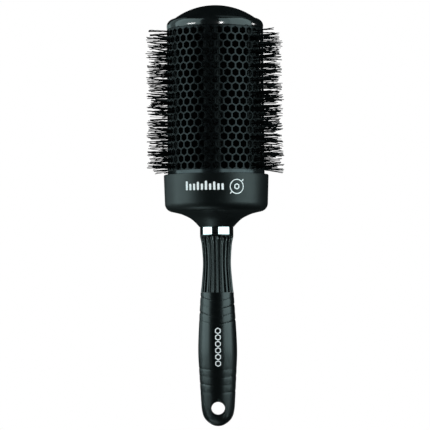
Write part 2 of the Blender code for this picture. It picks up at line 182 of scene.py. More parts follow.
def soft_touch(name, tint, low, high, shine, grain):
    """Soft-touch coating: a fine grain, a cloudy sheen and faint handling marks."""
    s = Shader(name)
    cloud = s.noise(45.0, 4.0, 0.6)
    s.colours(cloud, tuple(0.8 * c for c in tint), tuple(1.2 * c for c in tint))
    s.rough(s.noise(160.0, 5.0, 0.65), low, high)
    s.bump(s.noise(grain, 2.0), 0.02 * MM, 0.15)
    return s.set(Specular_IOR_Level=shine, Sheen_Weight=0.01, Sheen_Roughness=0.5).material


def satin_plastic(name, tint, low, high, pebble=0.12):
    """Moulded black plastic: satin, with flow marks and a very fine pebble."""
    s = Shader(name)
    s.colours(s.noise(60.0, 4.0), tuple(0.8 * c for c in tint), tuple(1.25 * c for c in tint))
    s.rough(s.noise(220.0, 5.0, 0.7), low, high)
    s.bump(s.noise(1800.0, 2.0), 0.015 * MM, pebble)
    return s.set(Specular_IOR_Level=0.5).material


def graphite_metal(name, tint, low, high):
    """Graphite-coated aluminium: brushed round the barrel, with the coat a little worn."""
    s = Shader(name)
    brushed = s.noise(1.0, 3.0, 0.6, s.stretched((220.0, 220.0, 5200.0)))
    cloud = s.noise(70.0, 4.0, 0.6)
    s.colours(cloud, tint, tuple(1.6 * c for c in tint))
    s.rough(brushed, low, high)
    s.bump(brushed, 0.012 * MM, 0.4)
    return s.set(Metallic=0.85).material


def chrome():
    s = Shader("chrome")
    s.colours(s.noise(300.0, 2.0), (0.82, 0.83, 0.84), (0.88, 0.885, 0.89))
    s.rough(s.noise(900.0, 4.0, 0.7), 0.04, 0.09)
    s.bump(s.noise(2500.0, 2.0), 0.002 * MM, 0.1)
    return s.set(Metallic=1.0).material


def nylon():
    """Bristle nylon: near black, glossier along the filament, each one a little different."""
    s = Shader("nylon")
    s.colours(s.noise(700.0, 2.0), (0.002, 0.002, 0.0025), (0.007, 0.007, 0.008))
    s.rough(s.noise(1500.0, 2.0), 0.34, 0.5)
    return s.set(Specular_IOR_Level=0.3).material


def plain_metal(name, dark, light, low, high):
    s = Shader(name)
    turned = s.noise(1.0, 3.0, 0.6, s.stretched((300.0, 300.0, 6000.0)))
    s.colours(turned, dark, light)
    s.rough(turned, low, high)
    s.bump(turned, 0.01 * MM, 0.3)
    return s.set(Metallic=1.0).material


def print_ink():
    """Pad-printed pale ink, slightly uneven."""
    s = Shader("print_ink")
    s.colours(s.noise(1500.0, 4.0, 0.7), (0.7, 0.71, 0.72), (0.86, 0.87, 0.88))
    s.rough(s.noise(900.0, 3.0), 0.4, 0.55)
    return s.set(Specular_IOR_Level=0.4).material


CAP_PLASTIC = satin_plastic("cap_plastic", (0.003, 0.0035, 0.0037), 0.135, 0.155, 0.03)
NECK_PLASTIC = satin_plastic("neck_plastic", (0.0025, 0.0029, 0.003), 0.2, 0.27)
INNER_PLASTIC = satin_plastic("inner_plastic", (0.003, 0.003, 0.0032), 0.5, 0.6)
COLLAR_COAT = soft_touch("collar_coat", (0.0022, 0.0026, 0.0027), 0.4, 0.44, 0.5, 2600.0)
GRIP_COAT = soft_touch("grip_coat", (0.003, 0.0034, 0.0036), 0.275, 0.305, 0.58, 2200.0)
GRAPHITE = graphite_metal("graphite_metal", (0.015, 0.0158, 0.0166), 0.3, 0.46)
GRAPHITE_EDGE = graphite_metal("graphite_edge", (0.034, 0.036, 0.038), 0.18, 0.24)
CHROME = chrome()
NYLON = nylon()
INK = print_ink()
STEEL = plain_metal("zinc_steel", (0.42, 0.43, 0.45), (0.56, 0.57, 0.58), 0.22, 0.36)
BRASS = plain_metal("turned_brass", (0.5, 0.36, 0.13), (0.66, 0.5, 0.22), 0.2, 0.34)


# ---------------------------------------------------------------- mesh helpers

SHARP_ANGLE = math.radians(38.0)
ON_AXIS = 0.001 * MM  # a point of a turned outline that is closer to the axis than this lies on it


def arc(centre_r, centre_z, radius, start, end, steps):
    """Points (radius, height) on an arc; angles are measured from +r towards +z, in degrees."""
    angles = [math.radians(start + (end - start) * i / steps) for i in range(steps + 1)]
    return [(centre_r + radius * math.cos(a), centre_z + radius * math.sin(a)) for a in angles]


def smooth_line(stations, pieces):
    """Points in metres on a smooth curve through stations (radius, height) in millimetres."""
    points = [Vector((r * MM, z * MM, 0.0)) for r, z in stations]
    last = len(points) - 1
    slopes = [(points[min(i + 1, last)] - points[max(i - 1, 0)]) / 2.0 for i in range(last + 1)]
    line = []
    for i in range(last):
        handle_a = points[i] + slopes[i] / 3.0
        handle_b = points[i + 1] - slopes[i + 1] / 3.0
        stretch = geometry.interpolate_bezier(points[i], handle_a, handle_b, points[i + 1], pieces + 1)
        line += [(p.x, p.y) for p in stretch[:-1]]
    return line + [(points[-1].x, points[-1].y)]


def evenly_spaced(line, spacing):
    """The same line with its points at equal distances."""
    radii, heights = np.array(line).T
    along = np.concatenate(([0.0], np.cumsum(np.hypot(np.diff(radii), np.diff(heights)))))
    marks = np.linspace(0.0, along[-1], round(along[-1] / spacing) + 1)
    return [(float(np.interp(m, along, radii)), float(np.interp(m, along, heights))) for m in marks]


def add_piece(name, mesh, finish, replaced, body="root"):
    """Puts a finished mesh into the scene as a piece of the brush."""
    piece = bpy.data.objects.new(name, mesh)
    bpy.context.scene.collection.objects.link(piece)
    mesh.materials.append(finish)
    mesh.shade_smooth()
    mesh.set_sharp_from_angle(angle=SHARP_ANGLE)
    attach(piece, body)
    if replaced:
        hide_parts(*replaced)
    return piece


def mesh_from(name, points, faces):
    mesh = bpy.data.meshes.new(name)
    mesh.from_pydata(points, [], faces)
    mesh.update()
    return mesh


def lathe(name, outline, steps, radius_change=None, closed=True):
    """A turned mesh. The outline runs down the outer side; a point on the axis becomes one corner.

    radius_change(angle, radius, height) gives the radius there, for ribs and ripples.
    """
    points = []
    rings = []
    for r, z in outline:
        if r < ON_AXIS:
            rings.append([len(points)] * steps)
            points.append((0.0, 0.0, z))
            continue
        rings.append([len(points) + i for i in range(steps)])
        for i in range(steps):
            angle = 2.0 * math.pi * i / steps
            radius = radius_change(angle, r, z) if radius_change else r
            points.append((radius * math.cos(angle), radius * math.sin(angle), z))
    if closed:
        rings.append(rings[0])
    faces = []
    for upper, lower in zip(rings, rings[1:]):
        for i in range(steps):
            j = (i + 1) % steps
            corners = list(dict.fromkeys((upper[i], lower[i], lower[j], upper[j])))
            if len(corners) > 2:
                faces.append(corners)
    return mesh_from(name, points, faces)


def evaluated(thing, name):
    bpy.context.view_layer.update()
    graph = bpy.context.evaluated_depsgraph_get()
    mesh = bpy.data.meshes.new_from_object(thing.evaluated_get(graph))
    mesh.name = name
    return mesh


def loose_object(name, mesh):
    made = bpy.data.objects.new(name, mesh)
    bpy.context.scene.collection.objects.link(made)
    return made


def remove(*things):
    for thing in things:
        bpy.data.objects.remove(thing, do_unlink=True)


# ---------------------------------------------------------------- camera and studio

CAMERA_DISTANCE = 1.6
CAMERA_HEIGHT = 0.085
VIEW_WIDTH = 0.2887  # what the picture's width shows at the brush's axis
VIEW_MIDDLE = 0.1414
AXIS_OFFSET = 1.03 * MM  # the brush's axis is this far right of the picture's middle
AXIS_LEAN = math.radians(0.49)
SENSOR = 36.0

WHITE_STRENGTH = 1.0  # the floor and the backdrop as the camera sees them
ROOM_TINT = (0.8, 1.0, 1.05, 1.0)  # the room's own faint light on the brush
ROOM_STRENGTH = 0.007
FLOOR_GREY = (0.03, 0.03, 0.03, 1.0)  # the floor as the brush reflects it
FLOOR_SIZE = 8.0
FLOOR_DROP = 0.5 * MM


def make_camera():
    data = bpy.data.cameras.new("camera")
    data.sensor_width = SENSOR
    rise = math.atan2(VIEW_MIDDLE - CAMERA_HEIGHT, CAMERA_DISTANCE)
    data.lens = SENSOR * CAMERA_DISTANCE / math.cos(rise) / VIEW_WIDTH
    data.clip_start = 0.01
    data.clip_end = 20.0
    camera = bpy.data.objects.new("camera", data)
    camera.location = (-AXIS_OFFSET, -CAMERA_DISTANCE, CAMERA_HEIGHT)
    camera.rotation_euler = (math.pi / 2 + rise, 0.0, 0.0)
    camera.rotation_euler.rotate_axis("Z", -AXIS_LEAN)
    bpy.context.scene.collection.objects.link(camera)
    bpy.context.scene.camera = camera


def camera_sees_white(tree, seen, other, output):
    """Joins two shaders: one for what the camera sees directly, one for all other rays."""
    path = tree.nodes.new("ShaderNodeLightPath")
    mix = tree.nodes.new("ShaderNodeMixShader")
    tree.links.new(path.outputs["Is Camera Ray"], mix.inputs["Fac"])
    tree.links.new(other, mix.inputs[1])
    tree.links.new(seen, mix.inputs[2])
    tree.links.new(mix.outputs["Shader"], output)


def make_world():
    world = bpy.data.worlds.new("studio")
    world.use_nodes = True
    bpy.context.scene.world = world
    tree = world.node_tree
    seen = tree.nodes["Background"]
    seen.inputs["Color"].default_value = (1.0, 1.0, 1.0, 1.0)
    seen.inputs["Strength"].default_value = WHITE_STRENGTH
    other = tree.nodes.new("ShaderNodeBackground")
    other.inputs["Color"].default_value = ROOM_TINT
    other.inputs["Strength"].default_value = ROOM_STRENGTH
    output = tree.nodes["World Output"].inputs["Surface"]
    camera_sees_white(tree, seen.outputs["Background"], other.outputs["Background"], output)


def make_floor():
    bpy.ops.mesh.primitive_plane_add(size=FLOOR_SIZE, location=(0.0, 0.0, -FLOOR_DROP))
    floor = bpy.context.active_object
    floor.name = "floor"
    material = bpy.data.materials.new("pale_floor")
    material.use_nodes = True
    tree = material.node_tree
    principled = tree.nodes["Principled BSDF"]
    principled.inputs["Base Color"].default_value = FLOOR_GREY
    principled.inputs["Roughness"].default_value = 0.9
    glow = tree.nodes.new("ShaderNodeEmission")
    glow.inputs["Strength"].default_value = WHITE_STRENGTH
    output = tree.nodes["Material Output"].inputs["Surface"]
    camera_sees_white(tree, glow.outputs["Emission"], principled.outputs["BSDF"], output)
    floor.data.materials.append(material)
    floor.visible_shadow = False


COOL = (0.73, 1.0, 1.01)
NEUTRAL = (1.0, 1.0, 1.0)

# Upright softboxes: azimuth in degrees, distance, and half of the angle that they span in degrees
LEFT_SIDE = (-80.0, 0.8, 27.0)
RIGHT_SIDE = (66.0, 0.8, 29.0)
LEFT_BACK = (-124.0, 0.8, 17.0)
FAR_BACK = (-148.0, 0.9, 18.0)
FRONT_LEFT = (-43.5, 0.9, 9.5)
FRONT_RIGHT = (24.0, 0.9, 13.0)
FRONT_RIGHT_NARROW = (28.0, 0.9, 9.0)
# How high the softboxes reach, and how far down the ones below the floor
BOX_FOOT = 0.01
LEFT_TOP = 1.25
RIGHT_TOP = 1.35
CAP_RIM_TOP = 0.4
GRIP_LAMP_DEPTH = 0.8
NECK_LAMP_DEPTH = 0.4

CARD_LIFT = 3.0 * MM
GLINT_DISTANCE = 1.1

POLISHED = ("chrome_ferrule", "domed_cap", "barrel_edge_band")
RIM_LIT = ("bell_collar", "soft_grip", "fluted_neck", "honeycomb_barrel", "domed_cap")


def softbox(name, place, aim, width, tall, radiance, tint=NEUTRAL):
    """A rectangular lamp at a place, turned towards an aim, that looks equally bright at any size."""
    data = bpy.data.lights.new(name, "AREA")
    data.shape = "RECTANGLE"
    data.size = width
    data.size_y = tall
    data.energy = radiance * math.pi * width * tall
    data.color = tint
    lamp = bpy.data.objects.new(name, data)
    lamp.location = place
    lamp.rotation_euler = (Vector(aim) - lamp.location).to_track_quat("-Z", "Y").to_euler()
    lamp.visible_camera = False
    bpy.context.scene.collection.objects.link(lamp)
    return lamp


def wall_softbox(name, azimuth, distance, half_angle, low, high, radiance):
    """An upright softbox round the brush; azimuths run from the front towards +X, in degrees."""
    turn = FRONT + math.radians(azimuth)
    middle = (low + high) / 2.0
    place = (distance * math.cos(turn), distance * math.sin(turn), middle)
    width = 2.0 * distance * math.tan(math.radians(half_angle))
    return softbox(name, place, (0.0, 0.0, middle), width, high - low, radiance, COOL)


def floor_card(name, x, y, width, depth, radiance):
    """A glowing patch just above the floor, which faces up."""
    return softbox(name, (x, y, CARD_LIFT), (x, y, 1.0), width, depth, radiance, COOL)


def only_on(lamp, *names):
    """Lets a lamp light just some pieces, as a flagged lamp does in a studio."""
    receivers = bpy.data.collections.new("lit_by_" + lamp.name)
    for name in names:
        receivers.objects.link(bpy.data.objects[name])
    lamp.light_linking.receiver_collection = receivers


def from_below(lamp, piece):
    """Lets a lamp below the floor light a piece past the floor, which casts no shadow."""
    lamp.data.cycles.use_multiple_importance_sampling = False
    only_on(lamp, piece)


def glint_lamp(name, azimuth, drop, width, tall, radiance):
    """A small lamp that glints on the cap's side, at an azimuth and at a drop below the shoulder."""
    turn = FRONT + math.radians(azimuth)
    tilt = -math.asin(drop / CAP_SIDE_ARC)
    outwards = Vector((math.cos(tilt) * math.cos(turn), math.cos(tilt) * math.sin(turn), math.sin(tilt)))
    side = BARREL_RADIUS - CAP_SIDE_ARC + CAP_SIDE_ARC * math.cos(tilt)
    spot = Vector((side * math.cos(turn), side * math.sin(turn), CAP_BOTTOM + CAP_SIDE - drop))
    to_camera = (bpy.context.scene.camera.location - spot).normalized()
    mirrored = outwards * (2.0 * outwards.dot(to_camera)) - to_camera
    lamp = softbox(name, spot + mirrored * GLINT_DISTANCE, spot, width, tall, radiance)
    only_on(lamp, "domed_cap")
    lamp.light_linking.blocker_collection = lamp.light_linking.receiver_collection


def light_sides():
    wall_softbox("softbox_left", *LEFT_SIDE, BOX_FOOT, LEFT_TOP, 2.5)
    wall_softbox("softbox_right", *RIGHT_SIDE, BOX_FOOT, RIGHT_TOP, 2.6)
    only_on(wall_softbox("rim_left", *LEFT_BACK, BOX_FOOT, LEFT_TOP, 0.5), *RIM_LIT)


def light_polish():
    """Lamps for the crisp reflections in the polished pieces and on the barrel's web."""
    only_on(wall_softbox("polish_left", *FRONT_LEFT, BOX_FOOT, LEFT_TOP, 2.2), *POLISHED)
    only_on(wall_softbox("polish_right", *FRONT_RIGHT, BOX_FOOT, RIGHT_TOP, 2.0), *POLISHED)
    only_on(wall_softbox("cap_rim", *FAR_BACK, BOX_FOOT, CAP_RIM_TOP, 0.45), "domed_cap")
    web_right = wall_softbox("web_right", *FRONT_RIGHT_NARROW, BOX_FOOT, RIGHT_TOP, 1.8)
    only_on(web_right, "honeycomb_barrel")


def light_top_and_floor():
    softbox("softbox_top", (0.42, 0.1, 1.36), (0.1, 0.0, BRUSH_TOP), 0.75, 0.7, 0.35, COOL)
    floor_card("card_left", -0.5, -0.1, 0.45, 0.6, 0.5)
    floor_card("card_right", 0.5, -0.15, 0.45, 0.6, 0.25)
    floor_card("card_near", -0.17, -0.03, 0.14, 0.3, 0.15)
    only_on(floor_card("card_flare", -0.06, -0.02, 0.07, 0.05, 2.5), "bell_collar")


def light_handle_from_below():
    """Lamps that go on below the floor, so that the side reflections run down to the handle's end."""
    from_below(wall_softbox("low_left", *LEFT_SIDE, -GRIP_LAMP_DEPTH, 0.0, 0.5), "soft_grip")
    from_below(wall_softbox("low_right", *RIGHT_SIDE, -GRIP_LAMP_DEPTH, 0.0, 0.5), "soft_grip")
    from_below(wall_softbox("neck_left", *LEFT_SIDE, -NECK_LAMP_DEPTH, 0.0, 1.6), "fluted_neck")
    from_below(wall_softbox("neck_right", *RIGHT_SIDE, -NECK_LAMP_DEPTH, 0.0, 1.6), "fluted_neck")
    foot_glow = softbox("foot_glow", (-0.125, 0.07, -0.3), (-0.0035, -0.007, 0.004), 0.3, 0.3, 0.45, COOL)
    from_below(foot_glow, "soft_grip")


def light_prints_and_glints():
    front_card = softbox("front_card", (0.0, -1.2, 0.5), (0.0, 0.0, 0.1), 0.8, 0.8, 5.2)
    only_on(front_card, "collar_print", "grip_print")
    glint_lamp("glint_left", -28.6, 1.1 * MM, 0.4, 0.06, 50.0)
    glint_lamp("glint_middle", 7.4, 1.1 * MM, 0.08, 0.22, 70.0)
    glint_lamp("glint_right", 51.5, 0.9 * MM, 0.13, 0.08, 35.0)


def make_studio():
    bpy.context.scene.view_settings.view_transform = "Standard"
    make_camera()
    make_world()
    make_floor()
    light_sides()
    light_polish()
    light_top_and_floor()
    light_handle_from_below()
    light_prints_and_glints()


# ---------------------------------------------------------------- barrel

VENT_EDGE = 0.14 * MM  # the rounding of the vents' edges
VENT_EDGE_ANGLE = math.radians(40.0)
BAND_LIFT = 0.06 * MM  # how far the rolled edge stands proud of the sheet
BAND_DEPTH = 0.25 * MM
BAND_CHAMFER = 0.12 * MM
BAND_GAP = 0.1 * MM
BAND_OVERLAP = 3.0 * MM  # how far the rolled edge runs down behind the collar's lip
BARREL_STEPS = 160


def vent_half_width():
    return (2.0 * math.pi * BARREL_RADIUS / VENT_COLUMNS - VENT_WEB) / 2.0


def vent_half_height():
    return (ROW_PITCH - VENT_WEB * 0.5 * math.sqrt(3.0)) / 1.5


def vent_height(row):
    return TOP_ROW_HEIGHT - row * ROW_PITCH


def vent_angle(row, column):
    return FIRST_STRIP_ANGLE + (column + 0.5 * (row % 2)) * 2.0 * math.pi / VENT_COLUMNS


def make_barrel():
    """The web between the six-sided vents, rolled into a tube, then given its wall and soft edges."""
    bm = bmesh.new()
    turn = vent_half_width() / BARREL_RADIUS
    tall = vent_half_height()
    corners = {
        "top": (0.0, tall),
        "upper_left": (-turn, tall / 2.0),
        "lower_left": (-turn, -tall / 2.0),
        "bottom": (0.0, -tall),
        "lower_right": (turn, -tall / 2.0),
        "upper_right": (turn, tall / 2.0),
    }

    def corner(angle, height):
        return bm.verts.new((BARREL_RADIUS * math.cos(angle), BARREL_RADIUS * math.sin(angle), height))

    def vent(row, column):
        angle = vent_angle(row, column)
        height = vent_height(row)
        return {name: corner(angle + a, height + z) for name, (a, z) in corners.items()}

    rows = [[vent(row, column) for column in range(VENT_COLUMNS)] for row in range(VENT_ROWS)]
    for row, vents in enumerate(rows):
        for column, this in enumerate(vents):
            right = vents[(column + 1) % VENT_COLUMNS]
            right_sides = (right["lower_left"], right["upper_left"])
            bm.faces.new((this["lower_right"], *right_sides, this["upper_right"]))
            if row == 0:
                continue
            over_left = rows[row - 1][(column - 1 + row % 2) % VENT_COLUMNS]
            over_right = rows[row - 1][(column + row % 2) % VENT_COLUMNS]
            bm.faces.new((this["top"], over_right["lower_left"], over_left["lower_right"]))
            bm.faces.new((this["upper_right"], right["upper_left"], over_right["bottom"]))
            bm.faces.new((this["top"], this["upper_right"], over_right["bottom"], over_right["lower_left"]))
            bm.faces.new((this["upper_left"], this["top"], over_left["lower_right"], over_left["bottom"]))
    add_plain_band(bm, corner, rows[0], 0, BARREL_TOP, "upper", "top")
    add_plain_band(bm, corner, rows[-1], VENT_ROWS - 1, BARREL_BOTTOM, "lower", "bottom")
    bmesh.ops.recalc_face_normals(bm, faces=bm.faces[:])
    mesh = bpy.data.meshes.new("barrel_web")
    bm.to_mesh(mesh)
    bm.free()
    barrel = add_piece("honeycomb_barrel", mesh, GRAPHITE, ["barrel"])
    wall = barrel.modifiers.new("wall", "SOLIDIFY")
    wall.thickness = BARREL_WALL
    wall.offset = -1.0
    wall.use_even_offset = True
    soften = barrel.modifiers.new("soft_edges", "BEVEL")
    soften.width = VENT_EDGE
    soften.segments = 2
    soften.limit_method = "ANGLE"
    soften.angle_limit = VENT_EDGE_ANGLE


def add_plain_band(bm, corner, vents, row, edge_height, side, tip):
    """The plain band between an end row of vents and the sheet's edge, with corners twice a pitch."""
    half_pitch = math.pi / VENT_COLUMNS
    under_tip = [corner(vent_angle(row, column), edge_height) for column in range(VENT_COLUMNS)]
    between = [corner(vent_angle(row, column) + half_pitch, edge_height) for column in range(VENT_COLUMNS)]
    for column, this in enumerate(vents):
        following = (column + 1) % VENT_COLUMNS
        right = vents[following]
        this_side = this[side + "_right"]
        next_side = right[side + "_left"]
        bm.faces.new((this[tip], this_side, between[column], under_tip[column]))
        bm.faces.new((this_side, next_side, between[column]))
        bm.faces.new((next_side, right[tip], under_tip[following], between[column]))


def make_edge_band():
    """The smooth rolled edge of the sheet, which shows between the collar's lip and the vents."""
    outer = BARREL_RADIUS + BAND_LIFT
    inner = BARREL_RADIUS - BAND_DEPTH
    top = vent_height(VENT_ROWS - 1) - vent_half_height() - BAND_GAP
    bottom = COLLAR_TOP - BAND_OVERLAP
    chamfer = [(outer - BAND_CHAMFER, top), (outer, top - BAND_CHAMFER)]
    outline = [(inner, top)] + chamfer + [(outer, bottom), (inner, bottom)]
    mesh = lathe("edge_band", outline, BARREL_STEPS)
    add_piece("barrel_edge_band", mesh, GRAPHITE_EDGE, ["barrel"])


# ---------------------------------------------------------------- bristle strips

TUFT_ROOT_RADIUS = 30.2 * MM
TUFT_TIP_RADIUS = 48.5 * MM
BUNCHES = 4  # a tuft's filaments cling together in bunches
FILAMENTS = 2
FILAMENT_RADIUS = 0.235 * MM
FILAMENT_THINNEST = 0.85  # as a share of the usual radius
FILAMENT_THICKEST = 1.15
ROOT_SPREAD = 1.5 * MM
TIP_SPREAD = 2.9 * MM
CLING_AT_ROOT = (0.7, 0.4)  # how far a filament goes with its bunch, and how far its own way
CLING_AT_TIP = (0.85, 0.3)
BEND_POWER = 1.25
WANDER = 0.3 * MM
LEAN_ROUND = 0.35 * MM  # how unevenly whole tufts lean, round the barrel and along it
LEAN_ALONG = 0.8 * MM
LENGTH_LOSS = 1.0 * MM  # how much shorter a filament can be
CRIMP = 0.12 * MM
CRIMP_LENGTH = 3.6 * MM
FILAMENT_STEPS = 9
FILAMENT_SIDES = 4
FIRST_SEED = 100

RAIL_WIDTH = 9.4 * MM
RAIL_THICKNESS = 1.5 * MM
RAIL_OUTER = 30.4 * MM
RAIL_EDGE = 0.25 * MM
BOSS_FOOT_RADIUS = 1.7 * MM
BOSS_TOP_RADIUS = 1.4 * MM
BOSS_HEIGHT = 1.0 * MM
BOSS_LIFT = 0.1 * MM


def tuft_places():
    """A strip's tufts as (angle from its middle, height): one and two by turns."""
    half_pitch = math.pi / VENT_COLUMNS
    places = []
    for row in range(VENT_ROWS):
        turns = (-1.0, 1.0) if row % 2 else (0.0,)
        places += [(turn * half_pitch, vent_height(row)) for turn in turns]
    return places


def spot_in_tuft(dice, share=0, shares=1):
    """A place in a disc of radius 1 across the tuft, in one of some equal shares of its height."""
    up = 2.0 * (share + dice.random()) / shares - 1.0
    return Vector((0.0, dice.uniform(-1.0, 1.0) * math.sqrt(1.0 - up * up), up))


def filament(dice, lean, bunch):
    """One bristle's middle line in its tuft's frame: x outwards, y round the barrel, z up."""
    own = spot_in_tuft(dice)
    start = (bunch * CLING_AT_ROOT[0] + own * CLING_AT_ROOT[1]) * ROOT_SPREAD
    end = (bunch * CLING_AT_TIP[0] + own * CLING_AT_TIP[1]) * TIP_SPREAD + lean
    wander = Vector((0.0, dice.gauss(0.0, WANDER), dice.gauss(0.0, WANDER)))
    length = TUFT_TIP_RADIUS - TUFT_ROOT_RADIUS + dice.uniform(-1.0, 0.0) * LENGTH_LOSS
    phase = dice.uniform(0.0, 2.0 * math.pi)
    plane = dice.uniform(0.0, 2.0 * math.pi)
    wave = Vector((0.0, math.cos(plane), math.sin(plane))) * (CRIMP * dice.uniform(0.5, 1.3))
    line = []
    for i in range(FILAMENT_STEPS + 1):
        t = i / FILAMENT_STEPS
        x = length * t
        swing = math.sin(phase + 2.0 * math.pi * x / CRIMP_LENGTH) * min(1.0, 3.0 * t)
        bend = start.lerp(end, t**BEND_POWER) + wander * t * t + wave * swing
        line.append(Vector((TUFT_ROOT_RADIUS + x, bend.y, bend.z)))
    return line


def tube_along(line, radius, points, faces):
    """Adds a thin closed tube with flat ends along a line that runs roughly outwards."""
    first = len(points)
    for p in line:
        for k in range(FILAMENT_SIDES):
            a = 2.0 * math.pi * k / FILAMENT_SIDES
            points.append(p + Vector((0.0, radius * math.cos(a), radius * math.sin(a))))
    rings = [[first + i * FILAMENT_SIDES + k for k in range(FILAMENT_SIDES)] for i in range(len(line))]
    for low, high in zip(rings, rings[1:]):
        for k in range(FILAMENT_SIDES):
            n = (k + 1) % FILAMENT_SIDES
            faces.append((low[k], low[n], high[n], high[k]))
    faces.append(tuple(reversed(rings[0])))
    faces.append(tuple(rings[-1]))


def make_strip(number, node):
    """The filaments of one strip, and the rail that they are moulded into, as two pieces."""
    dice = random.Random(FIRST_SEED + number)
    turn = FIRST_STRIP_ANGLE + (number - 1) * STRIP_ANGLE
    points = []
    faces = []
    for angle, height in tuft_places():
        place = Matrix.Rotation(turn + angle, 4, "Z") @ Matrix.Translation((0.0, 0.0, height))
        lean = Vector((0.0, dice.gauss(0.0, LEAN_ROUND), dice.uniform(-1.0, 1.0) * LEAN_ALONG))
        for bunch in [spot_in_tuft(dice, share, BUNCHES) for share in range(BUNCHES)]:
            for _ in range(FILAMENTS):
                local = []
                line = filament(dice, lean, bunch)
                thickness = dice.uniform(FILAMENT_THINNEST, FILAMENT_THICKEST)
                tube_along(line, FILAMENT_RADIUS * thickness, local, [])
                start = len(points)
                points += [place @ p for p in local]
                faces += [tuple(start + c for c in face) for face in FILAMENT_FACES]
    mesh = mesh_from(f"filaments_{number}", points, faces)
    add_piece(f"bristles_{number}", mesh, NYLON, [node])
    make_rail(number, node, turn)


def filament_faces():
    faces = []
    line = [Vector((float(i), 0.0, 0.0)) for i in range(FILAMENT_STEPS + 1)]
    tube_along(line, 1.0, [], faces)
    return faces


FILAMENT_FACES = filament_faces()


def make_rail(number, node, turn):
    """The moulded rail of a strip, with a low boss under each tuft."""
    low = bottom_of(node)
    high = top_of(node)
    bm = bmesh.new()
    size = Matrix.Diagonal((RAIL_THICKNESS, RAIL_WIDTH, high - low, 1.0))
    middle = Matrix.Translation((RAIL_OUTER - RAIL_THICKNESS / 2.0, 0.0, (low + high) / 2.0))
    bmesh.ops.create_cube(bm, size=1.0, matrix=middle @ size)
    for angle, height in tuft_places():
        boss = Matrix.Rotation(angle, 4, "Z") @ Matrix.Translation((RAIL_OUTER + BOSS_LIFT, 0.0, height))
        boss = boss @ Matrix.Rotation(math.pi / 2, 4, "Y")
        bmesh.ops.create_cone(
            bm,
            cap_ends=True,
            segments=12,
            radius1=BOSS_FOOT_RADIUS,
            radius2=BOSS_TOP_RADIUS,
            depth=BOSS_HEIGHT,
            matrix=boss,
        )
    bm.transform(Matrix.Rotation(turn, 4, "Z"))
    mesh = bpy.data.meshes.new(f"rail_{number}")
    bm.to_mesh(mesh)
    bm.free()
    rail = add_piece(f"bristle_rail_{number}", mesh, INNER_PLASTIC, [node])
    soften = rail.modifiers.new("soft_edges", "BEVEL")
    soften.width = RAIL_EDGE
    soften.segments = 2


# ---------------------------------------------------------------- cap, collar, ring

CROWN_ARC = 46.4 * MM
CROWN_EDGE = 28.4 * MM
CAP_SHOULDER_ARC = 4.5 * MM
CAP_SHOULDER_START = 76.0  # degrees up from level, where the shoulder meets the step
CAP_SIDE = 2.2 * MM  # how tall the cap's side is below the shoulder
CAP_SIDE_ARC = 9.0 * MM  # the side's slight bulge
CAP_WALL = 2.5 * MM
CAP_SEAT = 29.3 * MM
CAP_SHELF = 27.0 * MM
CAP_SHELF_RISE = 3.9 * MM
CAP_INNER_EDGE = 25.5 * MM


def make_cap():
    """A shallow crown, a slight step, a rounded shoulder and an open underside over the top plug."""
    crown_z = BRUSH_TOP - CROWN_ARC
    crown = arc(0.0, crown_z, CROWN_ARC, 90.0, math.degrees(math.acos(CROWN_EDGE / CROWN_ARC)), 30)[1:]
    shoulder_z = CAP_BOTTOM + CAP_SIDE
    shoulder_r = BARREL_RADIUS - CAP_SHOULDER_ARC
    shoulder = arc(shoulder_r, shoulder_z, CAP_SHOULDER_ARC, CAP_SHOULDER_START, 0.0, 16)
    tuck = -math.degrees(math.asin(CAP_SIDE / CAP_SIDE_ARC))
    side = arc(BARREL_RADIUS - CAP_SIDE_ARC, shoulder_z, CAP_SIDE_ARC, 0.0, tuck, 6)[1:]
    shelf_z = CAP_BOTTOM + CAP_SHELF_RISE
    underside = [(CAP_SEAT, CAP_BOTTOM), (CAP_SEAT, shelf_z), (CAP_SHELF, shelf_z)]
    inner_arc = CROWN_ARC - CAP_WALL
    inner = arc(0.0, crown_z, inner_arc, math.degrees(math.acos(CAP_INNER_EDGE / inner_arc)), 90.0, 12)[:-1]
    outer = [(0.0, BRUSH_TOP)] + crown + shoulder + side
    outline = outer + underside + inner + [(0.0, crown_z + inner_arc)]
    mesh = lathe("cap_shell", outline, BARREL_STEPS, closed=False)
    add_piece("domed_cap", mesh, CAP_PLASTIC, ["end_cap"])


COLLAR_LIP_ARC = 0.5 * MM
COLLAR_TAPER = 0.2 * MM  # how much narrower the wall gets in each of its two stretches
COLLAR_STRETCH = 6.5 * MM
COLLAR_SHOULDER_ARC = 5.7 * MM
COLLAR_SHOULDER_INSET = 0.6 * MM
COLLAR_SHOULDER_HEIGHT = 149.2 * MM
COLLAR_SHOULDER_END = -80.0
COLLAR_STEPS = 144
# Radius and height in millimetres
COLLAR_FLARE = ((26.9, 142.9), (23.3, 141.9), (19.1, 140.0), (16.5, 138.4), (13.8, 135.9), (11.6, 133.4))
COLLAR_BOSS_RADIUS = 9.5 * MM
COLLAR_FLOOR = ((16.0 * MM, 145.8 * MM), (24.0 * MM, 147.2 * MM))
COLLAR_SEAT_RADIUS = 30.0 * MM
COLLAR_SEAT_FOOT = 149.0 * MM


